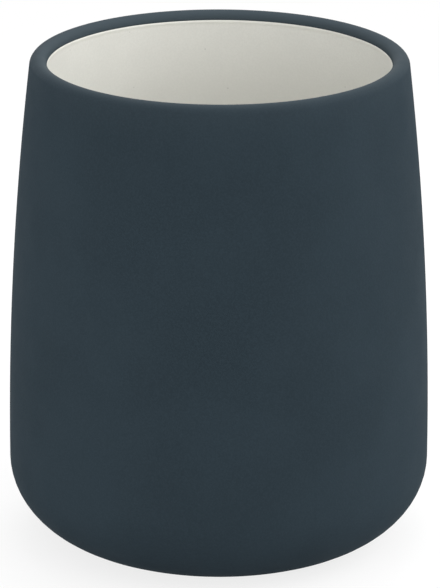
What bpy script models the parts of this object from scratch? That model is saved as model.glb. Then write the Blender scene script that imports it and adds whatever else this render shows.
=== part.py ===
"""Ceramic pen holder: a turned stoneware cup, coated matte outside and glazed inside, on four pads.

Metres, +Z up. The origin is on the desk, on the axis of the cup. A profile is a list of
(radius, height) points, and the cup, its coat, its glaze and its pads are profiles turned about
an upright axis. A profile runs so that the solid lies to its right: outwards along the floor of
the well, up the inside, over the lip and down the outside.
"""

import math

import bpy
from mathutils import Vector
from mathutils.geometry import interpolate_bezier

# Outside form
HEIGHT = 0.1000
WIDEST_DIAMETER = 0.0855
SHOULDER_DIAMETER = 0.0764
WALL_LEAN = math.radians(6.6)
WALL_FULLNESS_HIGH = 0.285
WALL_FULLNESS_LOW = 0.376

# Lip: fully round, of a curve over the mouth and one over the wall that meet at its crown
SHOULDER_DROP = 0.0052
LIP_ROLL_DROP = 0.0016
MOUTH_ROUNDING_DROP = 0.00165
CROWN_SHARE = 0.53

# Heel, foot ring and the recess inside it
HEEL_RISE = 0.0163
HEEL_SLOPE_AT_FOOT = math.radians(12.5)
FOOT_DIAMETER = 0.0575
FOOT_RING_WIDTH = 0.0044
FOOT_RING_ROUNDING = 0.0005
RECESS_CORNER = 0.0010

# Wall and floor of the well, each with its coverings
WALL_THICKNESS = 0.0035
FLOOR_THICKNESS = 0.0046
WELL_CORNER_REACH = 0.0150

# Coverings, and the clearance between pieces that seat on each other
COAT_THICKNESS = 0.0004
GLAZE_THICKNESS = 0.0005
SEAT_GAP = 0.0003

# Stick-on pads, and how far they stand out of the recess past the foot ring
PAD_COUNT = 4
PAD_DIAMETER = 0.0080
PAD_THICKNESS = 0.0022
PAD_STAND = 0.0005
PAD_TAPER = 0.0004
PAD_ROUNDING = 0.0005
PAD_TO_RING = 0.0010

# Flat steps along each stretch of a profile, and round each turn
MOUTH_STEPS = 6
LIP_STEPS = 6
WALL_STEPS = 5
HEEL_STEPS = 6
WELL_CORNER_STEPS = 6
SMALL_CORNER_STEPS = 2
CUP_FACETS = 56
PAD_FACETS = 20
WELD_DISTANCE = 0.00001
SMOOTH_BELOW = math.radians(40)

# Levels and radii that follow from the sizes above
RECESS_CEILING = PAD_THICKNESS + SEAT_GAP
WELL_FLOOR = RECESS_CEILING + FLOOR_THICKNESS
FOOT_RADIUS = FOOT_DIAMETER / 2
RECESS_RADIUS = FOOT_RADIUS - FOOT_RING_WIDTH
PAD_CIRCLE_RADIUS = RECESS_RADIUS - PAD_TO_RING - PAD_DIAMETER / 2


def clear_scene():
    for obj in list(bpy.data.objects):
        bpy.data.objects.remove(obj)


def point(radius, height):
    return Vector((radius, height))


def up_the_wall(rise):
    """A step up the wall near the lip, which draws in as it rises."""
    return point(-rise * math.tan(WALL_LEAN), rise)


def rounded_corner(start, corner, end, steps):
    """Points on a curve from start to end that is tangent to both legs of the corner."""
    turn = math.pi - (start - corner).angle(end - corner)
    pull = 4 / 3 * math.tan(turn / 4) / math.tan(turn / 2)
    return interpolate_bezier(start, start.lerp(corner, pull), end.lerp(corner, pull), end, steps + 1)


def set_in(points, depth):
    """The same course moved to its right, which is into the solid."""
    courses = [(b - a).normalized() for a, b in zip(points, points[1:])]
    moved = []
    for here, before, after in zip(points, courses[:1] + courses, courses + courses[-1:]):
        along = (before + after).normalized()
        moved.append(here + depth / along.dot(before) * point(along.y, -along.x))
    return moved


def wall():
    """The outside of the wall, down from the shoulder to the widest place."""
    top = point(SHOULDER_DIAMETER / 2, HEIGHT - SHOULDER_DROP)
    bottom = point(WIDEST_DIAMETER / 2, HEEL_RISE)
    length = top.y - bottom.y
    upper_handle = top - up_the_wall(WALL_FULLNESS_HIGH * length)
    lower_handle = bottom + point(0, WALL_FULLNESS_LOW * length)
    return interpolate_bezier(top, upper_handle, lower_handle, bottom, WALL_STEPS + 1)


def heel():
    """The rounded heel, down from the widest place to the foot."""
    start = wall()[-1]
    end = point(FOOT_RADIUS, PAD_STAND)
    corner = point(start.x, end.y + (start.x - end.x) * math.tan(HEEL_SLOPE_AT_FOOT))
    return rounded_corner(start, corner, end, HEEL_STEPS)


def through_wall(depth):
    """A level step into the leaning wall that reaches the given depth below its face."""
    return point(depth / math.cos(WALL_LEAN), 0)


def well_wall():
    """The inside of the wall, up from the widest place to the coat's edge in the mouth."""
    upwards = set_in(wall(), WALL_THICKNESS)[::-1]
    mouth = upwards[-1] + up_the_wall(HEIGHT - MOUTH_ROUNDING_DROP - upwards[-1].y)
    return upwards + [mouth]


def lip(start, end, depth):
    """Over the lip from inside to outside, with its top set in by depth."""
    level = HEIGHT - depth
    inner_corner = start + up_the_wall(level - start.y)
    outer_corner = end + up_the_wall(level - end.y)
    crown = inner_corner.lerp(outer_corner, CROWN_SHARE)
    mouth_rounding = rounded_corner(start, inner_corner, crown, MOUTH_STEPS)
    roll = rounded_corner(crown, outer_corner, end, LIP_STEPS)
    return mouth_rounding + roll[1:]


def outside(depth):
    """The outside set in by depth, from the mouth, over the lip and down to the foot."""
    upright = wall()
    roll_end = upright[0] + up_the_wall(SHOULDER_DROP - LIP_ROLL_DROP)
    face = set_in([roll_end] + upright + heel()[1:], depth)
    return lip(well_wall()[-1] + through_wall(depth), face[0], depth) + face[1:]


def inside(depth):
    """The inside set in by depth, from the centre of the floor up to just under the coat's edge."""
    upwards = well_wall()
    floor_corner = point(upwards[0].x, WELL_FLOOR)
    floor_edge = floor_corner - point(WELL_CORNER_REACH, 0)
    corner = rounded_corner(floor_edge, floor_corner, upwards[0], WELL_CORNER_STEPS)
    face = set_in([point(0, WELL_FLOOR)] + corner + upwards[1:-1], depth)
    return face + [upwards[-1] - up_the_wall(SEAT_GAP) + through_wall(depth)]


def foot():
    """The bare clay under the base, from the end of the coat round the foot ring to the centre."""
    ring_radius = set_in(heel(), COAT_THICKNESS)[-1].x - SEAT_GAP
    outer_edge = point(ring_radius, PAD_STAND)
    inner_edge = point(RECESS_RADIUS, PAD_STAND)
    recess_edge = point(RECESS_RADIUS, RECESS_CEILING)
    up = point(0, FOOT_RING_ROUNDING)
    across = point(FOOT_RING_ROUNDING, 0)
    recess_start = recess_edge - point(0, RECESS_CORNER)
    recess_end = recess_edge - point(RECESS_CORNER, 0)
    return (
        rounded_corner(outer_edge + up, outer_edge, outer_edge - across, SMALL_CORNER_STEPS)
        + rounded_corner(inner_edge + across, inner_edge, inner_edge + up, SMALL_CORNER_STEPS)
        + rounded_corner(recess_start, recess_edge, recess_end, SMALL_CORNER_STEPS)
        + [point(0, RECESS_CEILING)]
    )


def clay_profile():
    """The fired clay, from under the glaze, over the lip and under the coat to the bare foot."""
    return inside(GLAZE_THICKNESS + SEAT_GAP) + outside(COAT_THICKNESS + SEAT_GAP) + foot()


def coat_profile():
    """The coat, down its finished face, back up its hidden side and closed at its edge."""
    return outside(0) + outside(COAT_THICKNESS)[::-1] + outside(0)[:1]


def glaze_profile():
    """The glaze, up its finished face and back down its hidden side."""
    return inside(0) + inside(GLAZE_THICKNESS)[::-1]


def pad_profile():
    """A pad, from the centre of its stuck-on top face to the centre of its worn face."""
    top_edge = point(PAD_DIAMETER / 2, PAD_THICKNESS)
    worn_edge = point(PAD_DIAMETER / 2 - PAD_TAPER, 0)
    side = (top_edge - worn_edge).normalized() * PAD_ROUNDING
    across = point(PAD_ROUNDING, 0)
    return (
        [point(0, PAD_THICKNESS), top_edge]
        + rounded_corner(worn_edge + side, worn_edge, worn_edge - across, SMALL_CORNER_STEPS)
        + [point(0, 0)]
    )


def principled(name, colour, roughness):
    """A glossy or matte dielectric of one colour."""
    material = bpy.data.materials.new(name)
    material.use_nodes = True
    shader = material.node_tree.nodes["Principled BSDF"]
    shader.inputs["Base Color"].default_value = (*colour, 1)
    shader.inputs["Roughness"].default_value = roughness
    shader.inputs["Metallic"].default_value = 0
    return material


def bare_clay():
    return principled("bare_clay", (0.62, 0.56, 0.47), 0.85)


def matte_coat():
    return principled("matte_coat", (0.030, 0.045, 0.055), 0.62)


def cream_glaze():
    return principled("cream_glaze", (0.72, 0.71, 0.64), 0.35)


def pad_rubber():
    return principled("pad_rubber", (0.32, 0.33, 0.33), 0.55)


def turned(name, profile, facets, material, collection):
    """An object whose mesh is the profile turned once about its own Z axis."""
    mesh = bpy.data.meshes.new(name)
    edges = [(i, i + 1) for i in range(len(profile) - 1)]
    mesh.from_pydata([(p.x, 0, p.y) for p in profile], edges, [])
    mesh.materials.append(material)
    obj = bpy.data.objects.new(name, mesh)
    collection.objects.link(obj)
    screw = obj.modifiers.new("Turn", "SCREW")
    screw.steps = facets
    screw.render_steps = facets
    screw.use_merge_vertices = True
    screw.merge_threshold = WELD_DISTANCE
    bpy.context.view_layer.objects.active = obj
    bpy.ops.object.modifier_apply(modifier=screw.name)
    mesh.shade_smooth()
    mesh.set_sharp_from_angle(angle=SMOOTH_BELOW)
    return obj


def foot_pads(collection):
    """Pads spread evenly round the recess. They share one mesh."""
    first = turned("foot_pad_1", pad_profile(), PAD_FACETS, pad_rubber(), collection)
    others = [bpy.data.objects.new(f"foot_pad_{i}", first.data) for i in range(2, PAD_COUNT + 1)]
    for pad in others:
        collection.objects.link(pad)
    for i, pad in enumerate([first, *others]):
        bearing = 2 * math.pi * (i + 0.5) / PAD_COUNT
        pad.location.x = PAD_CIRCLE_RADIUS * math.cos(bearing)
        pad.location.y = PAD_CIRCLE_RADIUS * math.sin(bearing)


def main():
    clear_scene()
    collection = bpy.data.collections.new("ceramic_pen_holder")
    bpy.context.scene.collection.children.link(collection)
    turned("ceramic_body", clay_profile(), CUP_FACETS, bare_clay(), collection)
    turned("outer_matte_coat", coat_profile(), CUP_FACETS, matte_coat(), collection)
    turned("interior_glaze", glaze_profile(), CUP_FACETS, cream_glaze(), collection)
    foot_pads(collection)


main()
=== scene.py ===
"""Looks of the ceramic pen holder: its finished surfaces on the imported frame, and its studio.

Metres, +Z up, with the origin on the floor on the axis of the cup. A profile is a list of
(radius, height) points that is turned about an upright axis. It runs so that the solid lies to
its right: outwards along the floor of the well, up the inside, over the lip and down the outside.
"""

import math

import bmesh
import bpy
from mathutils import Matrix, Vector, noise
from mathutils.geometry import interpolate_bezier


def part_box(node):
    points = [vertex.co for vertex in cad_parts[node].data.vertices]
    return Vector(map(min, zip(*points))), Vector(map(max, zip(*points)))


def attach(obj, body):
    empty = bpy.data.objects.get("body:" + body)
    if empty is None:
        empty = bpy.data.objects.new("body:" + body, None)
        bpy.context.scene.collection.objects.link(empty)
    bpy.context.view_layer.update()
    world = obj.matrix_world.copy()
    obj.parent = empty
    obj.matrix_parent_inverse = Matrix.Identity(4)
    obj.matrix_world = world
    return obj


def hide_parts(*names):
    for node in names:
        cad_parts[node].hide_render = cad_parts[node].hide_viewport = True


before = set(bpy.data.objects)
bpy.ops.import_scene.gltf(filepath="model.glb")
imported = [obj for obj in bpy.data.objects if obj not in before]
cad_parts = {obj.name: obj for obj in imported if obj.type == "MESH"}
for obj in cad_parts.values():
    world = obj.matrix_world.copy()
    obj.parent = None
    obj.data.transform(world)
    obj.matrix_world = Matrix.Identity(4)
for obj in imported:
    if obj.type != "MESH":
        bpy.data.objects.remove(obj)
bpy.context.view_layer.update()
coat_low, coat_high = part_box("outer_matte_coat")
clay_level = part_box("ceramic_body")[0].z
glaze_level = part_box("interior_glaze")[0].z

# Outside form
HEIGHT = coat_high.z
WIDEST_RADIUS = coat_high.x
SHOULDER_RADIUS = 0.0382
WALL_LEAN = math.radians(6.6)
WALL_FULLNESS_HIGH = 0.285
WALL_FULLNESS_LOW = 0.376

# Lip
SHOULDER_DROP = 0.0052
LIP_ROLL_DROP = 0.0016
MOUTH_ROUNDING_DROP = 0.0018
CROWN_SHARE = 0.53

# Heel, foot ring and the recess inside it
FOOT_LEVEL = coat_low.z
HEEL_RISE = 0.0163
HEEL_SLOPE_AT_FOOT = math.radians(12.5)
FOOT_RADIUS = 0.02875
FOOT_RING_WIDTH = 0.0044
FOOT_RING_ROUNDING = 0.0005
RECESS_RADIUS = FOOT_RADIUS - FOOT_RING_WIDTH
RECESS_CEILING = 0.0025
RECESS_CORNER = 0.0010

# Wall, floor of the well, and their coverings
WALL_THICKNESS = 0.0035
COAT_THICKNESS = 0.0004
GLAZE_THICKNESS = 0.0005
WELL_FLOOR = glaze_level + GLAZE_THICKNESS
WELL_CORNER_REACH = 0.0150

# Where coat and glaze meet in the mouth, and where each piece touches the next
HAIRLINE = 0.00002
EDGE_ROUNDING = 0.00012
BEAD_HEIGHT = 0.0010
BEAD_PROUD = 0.00010
LINE_WANDER = 0.00005
LINE_WANDER_REACH = 0.0010
LINE_WANDER_SIZE = 0.012

# Pads
PAD_COUNT = 4
PAD_TAPER = 0.0004
PAD_ROUNDING = 0.0009
PAD_TOP_ROUNDING = 0.0002

# Steps along each stretch of a profile, and round each turn
MOUTH_STEPS = 14
LIP_STEPS = 14
WALL_STEPS = 18
HEEL_STEPS = 14
WELL_CORNER_STEPS = 12
SMALL_CORNER_STEPS = 4
PAD_ROUNDING_STEPS = 8
BEAD_STEPS = 8
CUP_FACETS = 168
PAD_FACETS = 48
FLOOR_SEGMENTS = 4
WELD_DISTANCE = 0.000001
SMOOTH_BELOW = math.radians(40)

# Colours of the finishes, as shares of light given back
COAT_COLOUR = (0.0207, 0.0315, 0.0399)
# Painted light: the coat's colour at the edge of the mouth, paler to stand in for the light its
# inner slope catches
PAINTED_MOUTH_LIGHT_COLOUR = (0.051, 0.0675, 0.079)
GLAZE_COLOUR = (0.814, 0.810, 0.765)
POOLED_GLAZE_COLOUR = (0.64, 0.63, 0.55)
# Painted highlight: the glaze's colour along its bead, paler to stand in for the light line at its
# top edge
PAINTED_BEAD_HIGHLIGHT_COLOUR = (0.83, 0.82, 0.77)
CLAY_COLOUR = (0.62, 0.56, 0.47)
GROG_COLOUR = (0.44, 0.37, 0.29)
PAD_COLOUR = (0.32, 0.33, 0.33)
DUST_COLOUR = (0.46, 0.45, 0.43)

# How much paler and darker than its colour the clouds make each finish
COAT_MOTTLE = 0.05
GLAZE_MOTTLE = 0.015
CLAY_MOTTLE = 0.06
PAD_MOTTLE = 0.06

# Shades of marks, as shares of the colour of their finish
COAT_GRAIN_SHADE = 1.5
# Painted shade: how much darker the glaze is painted deep in the well
PAINTED_WELL_SHADE = 0.93
GLAZE_GRAIN_SHADE = 0.90
GLAZE_FLECK_SHADE = 0.80
CLAY_GRIT_SHADE = 0.85

# The most that each colour or mark covers what lies under it, from 0 to 1
COAT_GRAIN_COVER = 0.25
GLAZE_GRAIN_COVER = 0.35
POOLED_GLAZE_COVER = 0.5
# Painted highlight: how much of the paler bead colour covers the glaze
PAINTED_BEAD_HIGHLIGHT_COVER = 0.7
CLAY_GRIT_COVER = 0.5
PAD_DUST_COVER = 0.5

# How far across the features of each finish are, or how far apart its specks and rings lie
COAT_CLOUDS = 0.022
COAT_PATCHES = 0.006
COAT_WAVES = 0.004
COAT_GRAIN = 0.00035
GLAZE_CLOUDS = 0.016
GLAZE_PATCHES = 0.005
GLAZE_FLECKS = 0.0032
GLAZE_WAVES = 0.0016
GLAZE_GRAIN = 0.0004
CLAY_CLOUDS = 0.009
CLAY_GROG = 0.0016
CLAY_RINGS = 0.0009
CLAY_GRIT = 0.0003
PAD_CLOUDS = 0.003
PAD_DUST = 0.0008
PAD_GRAIN = 0.0004

# How deep the relief of each finish is, and the share of it that shows
COAT_WAVE_RELIEF = (0.00003, 0.5)
COAT_GRAIN_RELIEF = (0.000012, 0.8)
GLAZE_WAVE_RELIEF = (0.00002, 0.5)
GLAZE_GRAIN_RELIEF = (0.000008, 0.6)
CLAY_RING_RELIEF = (0.00004, 0.5)
CLAY_GRIT_RELIEF = (0.00005, 0.9)
PAD_GRAIN_RELIEF = (0.00001, 0.6)

# Roughness, from the smoothest places to the roughest, and what handling takes off it at the lip
COAT_ROUGHNESS = (0.76, 0.84)
GLAZE_ROUGHNESS = (0.42, 0.50)
CLAY_ROUGHNESS = (0.82, 0.92)
PAD_ROUGHNESS = (0.38, 0.70)
HANDLED_SMOOTHING = 0.22

# Gloss, as the shader's specular level
COAT_GLOSS = 0.03
GLAZE_GLOSS = 0.5
CLAY_GLOSS = 0.3

# Light that enters the pads: its share, and how far it reaches
PAD_SCATTER_SHARE = 0.2
PAD_SCATTER_REACH = 0.001

# How wide or high the places are where a finish changes
# Painted light: how far from the mouth over the lip the paler painted coat reaches
PAINTED_MOUTH_LIGHT_WIDTH = 0.0044
HANDLED_DROP = 0.0004
# Painted shade: how far down the well the glaze is painted darker
PAINTED_WELL_SHADE_DROP = 0.028
PAD_WORN_HEIGHT = 0.0005

# Detail of the noise, and how unevenly the rings run
CLOUD_DETAIL = 3
PLAIN_DETAIL = 2
GRAIN_DETAIL = 1
RING_WOBBLE = 0.6

# The stretch of the noise, or of the distance to a speck, over which each mark comes in
CLOUD_STRETCH = (0.35, 0.65)
PATCH_STRETCH = (0.3, 0.7)
COAT_GRAIN_STRETCH = (0.35, 0.70)
PAD_DUST_STRETCH = (0.45, 0.70)
PAD_ROUGHNESS_STRETCH = (0.2, 1.3)
GLAZE_FLECK_STRETCH = (0.04, 0.07)
CLAY_GROG_STRETCH = (0.10, 0.20)

# Camera, as the photograph was taken
CAMERA_ELEVATION = math.radians(18.77)
CAMERA_ROLL = math.radians(0.16)
CAMERA_DISTANCE = 0.7695
CAMERA_SIDESTEP = 0.00018
CAMERA_AIM_HEIGHT = 0.04999
CAMERA_LENS = 232.70

# Studio: the floor is white to the camera, and gives back less light than that to the object
FLOOR_SIZE = 12.0
FLOOR_DROP = 0.00005
FLOOR_FADE_START = 0.12
FLOOR_FADE_END = 0.45
FLOOR_GLOW_NEAR = 0.8
FLOOR_BOUNCE = (0.72, 0.72, 0.72)
WHITE = (1.0, 1.0, 1.0)
SKY_STRENGTH = 0.82

# Softboxes: name, place, width, height, watts
SOFTBOXES = (
    ("back_softbox", (0.00, 0.40, 0.80), 0.60, 0.45, 2.5),
    ("right_softbox", (0.63, 0.00, 0.54), 0.45, 0.60, 2.3),
    ("front_right_softbox", (0.51, -0.43, 0.57), 0.50, 0.50, 0.9),
    ("front_softbox", (0.00, -0.93, 0.25), 0.60, 0.30, 1.0),
    ("high_front_softbox", (0.00, -0.58, 0.74), 0.60, 0.45, 0.6),
    ("low_left_softbox", (-0.70, -0.26, 0.06), 0.60, 0.08, 1.7),
    ("low_right_softbox", (0.75, 0.07, 0.06), 0.60, 0.08, 1.5),
)

# Kinds of ray that see the studio white
WHITE_RAYS = ("Is Camera Ray", "Is Glossy Ray", "Is Transmission Ray")

# Sockets of the Mix node for colours, and how far Blender's ring wave turns in a metre
MIX_SHARE = 0
MIX_FIRST = 6
MIX_SECOND = 7
MIX_RESULT = 2
WAVE_TURN = 20


def point(radius, height):
    return Vector((radius, height))


def up_the_wall(rise):
    """A step up the wall near the lip, which draws in as it rises."""
    return point(-rise * math.tan(WALL_LEAN), rise)


def through_wall(depth):
    """A level step into the leaning wall that reaches the given depth below its face."""
    return point(depth / math.cos(WALL_LEAN), 0)


def rounded_corner(start, corner, end, steps):
    """Points on a curve from start to end that is tangent to both legs of the corner."""
    turn = math.pi - (start - corner).angle(end - corner)
    pull = 4 / 3 * math.tan(turn / 4) / math.tan(turn / 2)
    start_handle = start.lerp(corner, pull)
    end_handle = end.lerp(corner, pull)
    return interpolate_bezier(start, start_handle, end_handle, end, steps + 1)


def softened(before, corner, after, radius, steps=SMALL_CORNER_STEPS):
    """A corner of a profile rounded over, on legs towards the points before and after it."""
    start = corner + (before - corner).normalized() * radius
    end = corner + (after - corner).normalized() * radius
    return rounded_corner(start, corner, end, steps)


def set_in(points, depth):
    """The same course moved to its right, which is into the solid."""
    courses = [(b - a).normalized() for a, b in zip(points, points[1:])]
    moved = []
    for here, before, after in zip(points, courses[:1] + courses, courses + courses[-1:]):
        along = (before + after).normalized()
        moved.append(here + depth / along.dot(before) * point(along.y, -along.x))
    return moved


def wall():
    """The outside of the wall, down from the shoulder to the widest place."""
    top = point(SHOULDER_RADIUS, HEIGHT - SHOULDER_DROP)
    bottom = point(WIDEST_RADIUS, HEEL_RISE)
    length = top.y - bottom.y
    upper_handle = top - up_the_wall(WALL_FULLNESS_HIGH * length)
    lower_handle = bottom + point(0, WALL_FULLNESS_LOW * length)
    return interpolate_bezier(top, upper_handle, lower_handle, bottom, WALL_STEPS + 1)


def heel():
    """The rounded heel, down from the widest place to the foot."""
    start = wall()[-1]
    end = point(FOOT_RADIUS, FOOT_LEVEL)
    corner = point(start.x, end.y + (start.x - end.x) * math.tan(HEEL_SLOPE_AT_FOOT))
    return rounded_corner(start, corner, end, HEEL_STEPS)


def well_wall():
    """The inside of the wall, up from the widest place to the coat's edge in the mouth."""
    upwards = set_in(wall(), WALL_THICKNESS)[::-1]
    mouth = upwards[-1] + up_the_wall(HEIGHT - MOUTH_ROUNDING_DROP - upwards[-1].y)
    return upwards + [mouth]


def coat_edge():
    """Where the coat ends in the mouth and the glaze begins."""
    return well_wall()[-1]


def lip(start, end, depth):
    """Over the lip from inside to outside, with its top set in by depth."""
    top = HEIGHT - depth
    inner_corner = start + up_the_wall(top - start.y)
    outer_corner = end + up_the_wall(top - end.y)
    crown = inner_corner.lerp(outer_corner, CROWN_SHARE)
    mouth_rounding = rounded_corner(start, inner_corner, crown, MOUTH_STEPS)
    roll = rounded_corner(crown, outer_corner, end, LIP_STEPS)
    return mouth_rounding + roll[1:]


def outside(depth):
    """The outside set in by depth, from the mouth, over the lip and down to the foot."""
    upright = wall()
    roll_end = upright[0] + up_the_wall(SHOULDER_DROP - LIP_ROLL_DROP)
    face = set_in([roll_end] + upright + heel()[1:], depth)
    return lip(coat_edge() + through_wall(depth), face[0], depth) + face[1:]


def inside(depth):
    """The inside set in by depth, from the middle of the floor up to the end of the wall."""
    upwards = well_wall()
    floor_corner = point(upwards[0].x, WELL_FLOOR)
    floor_edge = floor_corner - point(WELL_CORNER_REACH, 0)
    corner = rounded_corner(floor_edge, floor_corner, upwards[0], WELL_CORNER_STEPS)
    return set_in([point(0, WELL_FLOOR)] + corner + upwards[1:-1], depth)


def glaze_edge(depth):
    """A point at the top of the glaze, close under the edge of the coat, set in by depth."""
    return coat_edge() - up_the_wall(HAIRLINE) + through_wall(depth)


def coat_profile():
    """The coat: down its finished face, back up its hidden side, with both its edges rounded."""
    face = outside(0)
    hidden = outside(COAT_THICKNESS)[::-1]
    foot_edge = softened(face[-2], face[-1], hidden[0], EDGE_ROUNDING)
    mouth_edge = softened(hidden[-1], face[0], face[1], EDGE_ROUNDING)
    return mouth_edge + face[1:-1] + foot_edge + hidden + mouth_edge[:1]


def glaze_bead():
    """The finished face of the glaze as it swells to a bead and turns in under the coat."""
    edge = glaze_edge(0)
    swell = []
    for i in range(BEAD_STEPS):
        share = i / BEAD_STEPS
        proud = BEAD_PROUD * math.sin(math.pi * share ** 2)
        swell.append(edge - up_the_wall((1 - share) * BEAD_HEIGHT) - through_wall(proud))
    return swell + [edge]


def glaze_profile():
    """The glaze: up its finished face with a bead at the top, and back down its hidden side."""
    hidden = inside(GLAZE_THICKNESS) + [glaze_edge(GLAZE_THICKNESS)]
    return inside(0) + glaze_bead() + hidden[::-1]


def foot():
    """The bare clay under the base, from the end of the coat round the foot ring to the centre."""
    outer_edge = point(set_in(heel(), COAT_THICKNESS)[-1].x - HAIRLINE, clay_level)
    inner_edge = point(RECESS_RADIUS, clay_level)
    recess_edge = point(RECESS_RADIUS, RECESS_CEILING)
    centre = point(0, RECESS_CEILING)
    above = outer_edge + point(0, RECESS_CEILING)
    return (
        softened(above, outer_edge, inner_edge, FOOT_RING_ROUNDING)
        + softened(outer_edge, inner_edge, recess_edge, FOOT_RING_ROUNDING)
        + softened(inner_edge, recess_edge, centre, RECESS_CORNER)
        + [centre]
    )


def clay_profile():
    """The fired clay, from under the glaze, over the lip and under the coat to the bare foot."""
    well = inside(GLAZE_THICKNESS + HAIRLINE) + [glaze_edge(GLAZE_THICKNESS + HAIRLINE)]
    return well + outside(COAT_THICKNESS + HAIRLINE) + foot()


def wandering(place, line):
    """A place near the line between coat and glaze, moved up or down as a wiped line wanders."""
    away = (point(math.hypot(place.x, place.y), place.z) - line).length
    near = max(0, 1 - away / LINE_WANDER_REACH)
    wander = noise.noise(Vector((place.x, place.y, 0)) / LINE_WANDER_SIZE)
    return place + Vector((0, 0, LINE_WANDER * near * wander))


def turned(name, profile, facets, centre=(0, 0)):
    """An object whose mesh is the profile turned once about an upright axis."""
    bm = bmesh.new()
    verts = [bm.verts.new((p.x, 0, p.y)) for p in profile]
    edges = [bm.edges.new(pair) for pair in zip(verts, verts[1:])]
    bmesh.ops.spin(
        bm,
        geom=verts + edges,
        cent=(0, 0, 0),
        axis=(0, 0, 1),
        angle=2 * math.pi,
        steps=facets,
        use_merge=True,
    )
    bmesh.ops.remove_doubles(bm, verts=bm.verts, dist=WELD_DISTANCE)
    bmesh.ops.recalc_face_normals(bm, faces=bm.faces)
    bmesh.ops.translate(bm, verts=bm.verts, vec=(*centre, 0))
    mesh = bpy.data.meshes.new(name)
    bm.to_mesh(mesh)
    bm.free()
    mesh.shade_smooth()
    mesh.set_sharp_from_angle(angle=SMOOTH_BELOW)
    obj = bpy.data.objects.new(name, mesh)
    bpy.context.scene.collection.objects.link(obj)
    return obj


def cup_piece(name, profile, material, node, slot):
    """A turned piece of the cup that takes the place of its CAD node."""
    obj = turned(name, profile, CUP_FACETS)
    line = coat_edge()
    for vertex in obj.data.vertices:
        vertex.co = wandering(vertex.co, line)
    return dressed(obj, material, node)


def dressed(obj, material, node):
    """A piece with its material, on its body, in the place of its CAD node."""
    obj.data.materials.append(material)
    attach(obj, "root")
    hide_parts(node)
    return obj


def pad_profile(radius, height):
    """A soft pad: flat where it is stuck on, drawn in to a flat worn face with a round edge."""
    top_centre = point(0, height)
    top_edge = point(radius, height)
    worn_centre = point(0, 0)
    worn_edge = point(radius - PAD_TAPER, 0)
    return (
        [top_centre]
        + softened(top_centre, top_edge, worn_edge, PAD_TOP_ROUNDING)
        + softened(top_edge, worn_edge, worn_centre, PAD_ROUNDING, PAD_ROUNDING_STEPS)
        + [worn_centre]
    )


def soft_pad(number, material):
    """The pad that takes the place of the CAD pad of the same number."""
    node = f"foot_pad_{number}"
    low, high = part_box(node)
    profile = pad_profile((high.x - low.x) / 2, high.z)
    centre = (low + high) / 2
    obj = turned(f"soft_pad_{number}", profile, PAD_FACETS, centre.xy)
    return dressed(obj, material, node)


def fill(tree, node, inputs):
    """Gives a node its inputs, which are values or the outputs of other nodes."""
    for name, value in inputs.items():
        if isinstance(value, bpy.types.NodeSocket):
            tree.links.new(value, node.inputs[name])
        else:
            node.inputs[name].default_value = value


def add_node(tree, kind, inputs, **settings):
    node = tree.nodes.new(kind)
    for name, value in settings.items():
        setattr(node, name, value)
    fill(tree, node, inputs)
    return node


def object_place(tree):
    """Where a point lies on the object, in metres."""
    return add_node(tree, "ShaderNodeTexCoord", {}).outputs["Object"]


def level(tree):
    """How high a point lies above the floor, in metres."""
    return add_node(tree, "ShaderNodeSeparateXYZ", {"Vector": object_place(tree)}).outputs["Z"]


def cloudy(tree, size, detail):
    """Noise from 0 to 1 with features about size metres across."""
    inputs = {"Vector": object_place(tree), "Scale": 1 / size, "Detail": detail}
    return add_node(tree, "ShaderNodeTexNoise", inputs).outputs["Fac"]


def away_from_axis(tree):
    """How far a point lies from the upright axis of the cup, in metres."""
    inputs = {0: object_place(tree), 1: (1, 1, 0)}
    flat = add_node(tree, "ShaderNodeVectorMath", inputs, operation="MULTIPLY").outputs["Vector"]
    return add_node(tree, "ShaderNodeVectorMath", {0: flat}, operation="LENGTH").outputs["Value"]


def specks(tree, spacing):
    """Distance to the nearest of scattered points that lie about spacing metres apart."""
    inputs = {"Vector": object_place(tree), "Scale": 1 / spacing}
    return add_node(tree, "ShaderNodeTexVoronoi", inputs).outputs["Distance"]


def rings(tree, spacing):
    """Ripples round the axis of the cup, spacing metres apart."""
    scale = math.tau / WAVE_TURN / spacing
    inputs = {"Vector": object_place(tree), "Scale": scale, "Distortion": RING_WOBBLE}
    settings = {"wave_type": "RINGS", "rings_direction": "Z"}
    return add_node(tree, "ShaderNodeTexWave", inputs, **settings).outputs["Fac"]


def ranged(tree, value, start, end, low, high):
    """Smoothly from low to high as value goes from start to end."""
    inputs = {"Value": value, "From Min": start, "From Max": end, "To Min": low, "To Max": high}
    node = add_node(tree, "ShaderNodeMapRange", inputs, interpolation_type="SMOOTHSTEP")
    return node.outputs["Result"]


def calculated(tree, operation, first, second):
    """The result of a Math node."""
    inputs = {0: first, 1: second}
    return add_node(tree, "ShaderNodeMath", inputs, operation=operation).outputs["Value"]


def blended(tree, share, colour, other):
    """From one colour to another as share goes from 0 to 1."""
    inputs = {MIX_SHARE: share, MIX_FIRST: rgba(colour), MIX_SECOND: rgba(other)}
    return add_node(tree, "ShaderNodeMix", inputs, data_type="RGBA").outputs[MIX_RESULT]


def rgba(colour):
    """A colour of three numbers as four; the output of a node stays as it is."""
    return (*colour, 1) if isinstance(colour, tuple) else colour


def bumped(tree, height, depth, strength, normal=None):
    """A surface raised by up to depth metres where height is 1."""
    inputs = {"Height": height, "Distance": depth, "Strength": strength}
    if normal is not None:
        inputs["Normal"] = normal
    return add_node(tree, "ShaderNodeBump", inputs).outputs["Normal"]


def new_material(name):
    """A material, its node tree and its shader."""
    material = bpy.data.materials.new(name)
    material.use_nodes = True
    return material, material.node_tree, material.node_tree.nodes["Principled BSDF"]


def shade(colour, share):
    return tuple(share * c for c in colour)


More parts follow.
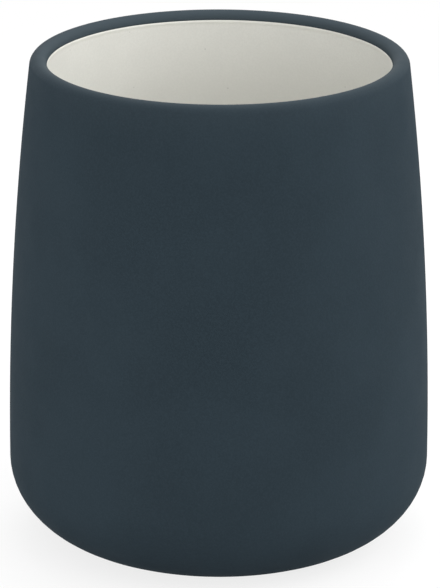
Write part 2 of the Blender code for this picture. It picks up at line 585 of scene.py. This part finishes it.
def mottled(tree, clouds, colour, spread):
    """A colour that is darker where the clouds are 0 and paler where they are 1."""
    return blended(tree, clouds, shade(colour, 1 - spread), shade(colour, 1 + spread))


def clouded(tree, size):
    """Soft clouds from 0 to 1, about size metres across."""
    return ranged(tree, cloudy(tree, size, CLOUD_DETAIL), *CLOUD_STRETCH, 0, 1)


def patchy(tree, size, low, high):
    """A number from low to high in patches about size metres across."""
    return ranged(tree, cloudy(tree, size, CLOUD_DETAIL), *PATCH_STRETCH, low, high)


def painted_mouth_light(tree):
    """Where the painted light goes: 1 at the edge of the coat in the mouth, fading to 0 over the
    lip and down the cup.
    """
    edge = coat_edge().x
    over_lip = ranged(tree, away_from_axis(tree), edge, edge + PAINTED_MOUTH_LIGHT_WIDTH, 1, 0)
    above_heel = ranged(tree, level(tree), HEEL_RISE, HEIGHT / 2, 0, 1)
    return calculated(tree, "MULTIPLY", over_lip, above_heel)


def matte_coat_finish():
    """Slate matte glaze, clouded and grained, with painted light making it paler over the lip
    towards the mouth, and smoother on top.
    """
    material, tree, shader = new_material("matte_coat")
    grain = cloudy(tree, COAT_GRAIN, GRAIN_DETAIL)
    grained = ranged(tree, grain, *COAT_GRAIN_STRETCH, 0, COAT_GRAIN_COVER)
    colour = mottled(tree, clouded(tree, COAT_CLOUDS), COAT_COLOUR, COAT_MOTTLE)
    colour = blended(tree, grained, colour, shade(COAT_COLOUR, COAT_GRAIN_SHADE))
    # Painted light: the coat is painted paler towards the mouth, brightening the lip's inner slope
    colour = blended(tree, painted_mouth_light(tree), colour, PAINTED_MOUTH_LIGHT_COLOUR)
    handled = ranged(tree, level(tree), HEIGHT - LIP_ROLL_DROP, HEIGHT - HANDLED_DROP, 0, 1)
    smoother = ranged(tree, handled, 0, 1, 0, -HANDLED_SMOOTHING)
    roughness = patchy(tree, COAT_PATCHES, *COAT_ROUGHNESS)
    normal = bumped(tree, cloudy(tree, COAT_WAVES, PLAIN_DETAIL), *COAT_WAVE_RELIEF)
    fill(tree, shader, {
        "Base Color": colour,
        "Roughness": calculated(tree, "ADD", roughness, smoother),
        "Normal": bumped(tree, grain, *COAT_GRAIN_RELIEF, normal),
        "Specular IOR Level": COAT_GLOSS,
    })
    return material


def cream_glaze_finish():
    """Warm cream satin glaze, with a painted highlight along its bead and painted shade that
    darkens it downwards into the well.
    """
    material, tree, shader = new_material("cream_glaze")
    height = level(tree)
    line = HEIGHT - MOUTH_ROUNDING_DROP
    grain = cloudy(tree, GLAZE_GRAIN, GRAIN_DETAIL)
    # Painted shade: the glaze is darker the deeper it lies in the well
    painted_depth_shade = ranged(tree, height, line - PAINTED_WELL_SHADE_DROP, line, 1, 0)
    pooled = ranged(tree, height, WELL_FLOOR, WELL_FLOOR + HEEL_RISE, POOLED_GLAZE_COVER, 0)
    grained = ranged(tree, grain, *PATCH_STRETCH, GLAZE_GRAIN_COVER, 0)
    flecks = ranged(tree, specks(tree, GLAZE_FLECKS), *GLAZE_FLECK_STRETCH, 1, 0)
    # Painted highlight: the glaze is painted paler along its bead
    painted_bead_highlight = ranged(tree, height, line - BEAD_HEIGHT, line, 0, PAINTED_BEAD_HIGHLIGHT_COVER)
    colour = mottled(tree, clouded(tree, GLAZE_CLOUDS), GLAZE_COLOUR, GLAZE_MOTTLE)
    # Painted shade deeper in the well
    colour = blended(tree, painted_depth_shade, colour, shade(GLAZE_COLOUR, PAINTED_WELL_SHADE))
    colour = blended(tree, pooled, colour, POOLED_GLAZE_COLOUR)
    colour = blended(tree, grained, colour, shade(GLAZE_COLOUR, GLAZE_GRAIN_SHADE))
    colour = blended(tree, flecks, colour, shade(GLAZE_COLOUR, GLAZE_FLECK_SHADE))
    colour = blended(tree, painted_bead_highlight, colour, PAINTED_BEAD_HIGHLIGHT_COLOUR)
    normal = bumped(tree, cloudy(tree, GLAZE_WAVES, GRAIN_DETAIL), *GLAZE_WAVE_RELIEF)
    fill(tree, shader, {
        "Base Color": colour,
        "Roughness": patchy(tree, GLAZE_PATCHES, *GLAZE_ROUGHNESS),
        "Normal": bumped(tree, grain, *GLAZE_GRAIN_RELIEF, normal),
        "Specular IOR Level": GLAZE_GLOSS,
    })
    return material


def bare_clay_finish():
    """Fired stoneware where it is bare: sandy, with grog, and ringed by the sponge's wiping."""
    material, tree, shader = new_material("bare_clay")
    clouds = clouded(tree, CLAY_CLOUDS)
    grit = cloudy(tree, CLAY_GRIT, PLAIN_DETAIL)
    gritty = ranged(tree, grit, *PATCH_STRETCH, CLAY_GRIT_COVER, 0)
    grog = ranged(tree, specks(tree, CLAY_GROG), *CLAY_GROG_STRETCH, 1, 0)
    colour = mottled(tree, clouds, CLAY_COLOUR, CLAY_MOTTLE)
    colour = blended(tree, gritty, colour, shade(CLAY_COLOUR, CLAY_GRIT_SHADE))
    normal = bumped(tree, rings(tree, CLAY_RINGS), *CLAY_RING_RELIEF)
    fill(tree, shader, {
        "Base Color": blended(tree, grog, colour, GROG_COLOUR),
        "Roughness": ranged(tree, clouds, 0, 1, *CLAY_ROUGHNESS),
        "Normal": bumped(tree, grit, *CLAY_GRIT_RELIEF, normal),
        "Specular IOR Level": CLAY_GLOSS,
    })
    return material


def pad_rubber_finish():
    """Soft grey polyurethane, satin, with a little dust on the face that it stands on."""
    material, tree, shader = new_material("pad_rubber")
    dust = ranged(tree, cloudy(tree, PAD_DUST, CLOUD_DETAIL), *PAD_DUST_STRETCH, 0, PAD_DUST_COVER)
    worn = ranged(tree, level(tree), 0, PAD_WORN_HEIGHT, 1, 0)
    dusty = calculated(tree, "MULTIPLY", dust, worn)
    clouds = cloudy(tree, PAD_CLOUDS, PLAIN_DETAIL)
    rough = calculated(tree, "ADD", clouds, dusty)
    colour = mottled(tree, clouds, PAD_COLOUR, PAD_MOTTLE)
    fill(tree, shader, {
        "Base Color": blended(tree, dusty, colour, DUST_COLOUR),
        "Roughness": ranged(tree, rough, *PAD_ROUGHNESS_STRETCH, *PAD_ROUGHNESS),
        "Normal": bumped(tree, cloudy(tree, PAD_GRAIN, GRAIN_DETAIL), *PAD_GRAIN_RELIEF),
        "Subsurface Weight": PAD_SCATTER_SHARE,
        "Subsurface Scale": PAD_SCATTER_REACH,
    })
    return material


def white_rays(tree):
    """1 for the kinds of ray that see the studio white, and 0 for the others."""
    path = add_node(tree, "ShaderNodeLightPath", {})
    share = 0
    for ray in WHITE_RAYS:
        share = calculated(tree, "MAXIMUM", share, path.outputs[ray])
    return share


def mixed_shader(tree, share, shader, other):
    inputs = {0: share, 1: shader, 2: other}
    return add_node(tree, "ShaderNodeMixShader", inputs).outputs["Shader"]


def floor_finish():
    """White paper: it takes the shadow near the cup, and is plain white further away."""
    material, tree = new_material("white_paper")[:2]
    tree.nodes.clear()
    away = away_from_axis(tree)
    glow = ranged(tree, away, FLOOR_FADE_START, FLOOR_FADE_END, FLOOR_GLOW_NEAR, 1)
    lit = add_node(tree, "ShaderNodeBsdfDiffuse", {"Color": rgba(WHITE)}).outputs["BSDF"]
    inputs = {"Color": rgba(WHITE), "Strength": 1}
    white = add_node(tree, "ShaderNodeEmission", inputs).outputs["Emission"]
    seen = mixed_shader(tree, glow, lit, white)
    bounce = add_node(tree, "ShaderNodeBsdfDiffuse", {"Color": rgba(FLOOR_BOUNCE)}).outputs["BSDF"]
    surface = mixed_shader(tree, white_rays(tree), bounce, seen)
    add_node(tree, "ShaderNodeOutputMaterial", {"Surface": surface})
    return material


def add_floor():
    bm = bmesh.new()
    bmesh.ops.create_grid(
        bm, x_segments=FLOOR_SEGMENTS, y_segments=FLOOR_SEGMENTS, size=FLOOR_SIZE / 2
    )
    mesh = bpy.data.meshes.new("floor")
    bm.to_mesh(mesh)
    bm.free()
    mesh.materials.append(floor_finish())
    floor = bpy.data.objects.new("floor", mesh)
    floor.location.z = -FLOOR_DROP
    bpy.context.scene.collection.objects.link(floor)


def add_sky():
    """Even light from all round, which is white where the camera sees it."""
    world = bpy.data.worlds.new("studio")
    world.use_nodes = True
    tree = world.node_tree
    tree.nodes.clear()
    inputs = {"Color": rgba(WHITE), "Strength": SKY_STRENGTH}
    light = add_node(tree, "ShaderNodeBackground", inputs).outputs["Background"]
    inputs = {"Color": rgba(WHITE), "Strength": 1}
    white = add_node(tree, "ShaderNodeBackground", inputs).outputs["Background"]
    surface = mixed_shader(tree, white_rays(tree), light, white)
    add_node(tree, "ShaderNodeOutputWorld", {"Surface": surface})
    bpy.context.scene.world = world


def add_softbox(name, place, width, height, watts):
    """A rectangle of light that faces the middle of the cup and isn't seen itself."""
    light = bpy.data.lights.new(name, "AREA")
    light.shape = "RECTANGLE"
    light.size = width
    light.size_y = height
    light.energy = watts
    lamp = bpy.data.objects.new(name, light)
    lamp.location = place
    away = Vector(place) - Vector((0, 0, HEIGHT / 2))
    lamp.rotation_euler = away.to_track_quat("Z", "Y").to_euler()
    lamp.visible_camera = False
    bpy.context.scene.collection.objects.link(lamp)


def add_camera():
    """The camera, in front of the cup and above it, with its long lens."""
    back = Vector((0, -math.cos(CAMERA_ELEVATION), math.sin(CAMERA_ELEVATION)))
    aim = Vector((CAMERA_SIDESTEP, 0, CAMERA_AIM_HEIGHT))
    camera = bpy.data.objects.new("camera", bpy.data.cameras.new("camera"))
    camera.data.lens = CAMERA_LENS
    tilt = Matrix.Rotation(math.pi / 2 - CAMERA_ELEVATION, 4, "X")
    roll = Matrix.Rotation(CAMERA_ROLL, 4, "Z")
    camera.matrix_world = Matrix.Translation(aim + CAMERA_DISTANCE * back) @ tilt @ roll
    bpy.context.scene.collection.objects.link(camera)
    bpy.context.scene.camera = camera


CUP_PIECES = (
    ("stoneware_cup", clay_profile(), bare_clay_finish(), "ceramic_body", "bare_clay"),
    ("slate_matte_coat", coat_profile(), matte_coat_finish(), "outer_matte_coat", "matte_coat"),
    ("cream_inner_glaze", glaze_profile(), cream_glaze_finish(), "interior_glaze", "cream_glaze"),
)
for piece in CUP_PIECES:
    cup_piece(*piece)
pad_finish = pad_rubber_finish()
for number in range(1, PAD_COUNT + 1):
    soft_pad(number, pad_finish)

add_floor()
add_sky()
for softbox in SOFTBOXES:
    add_softbox(*softbox)
add_camera()
bpy.context.scene.view_settings.view_transform = "Standard"

bpy.context.view_layer.update()
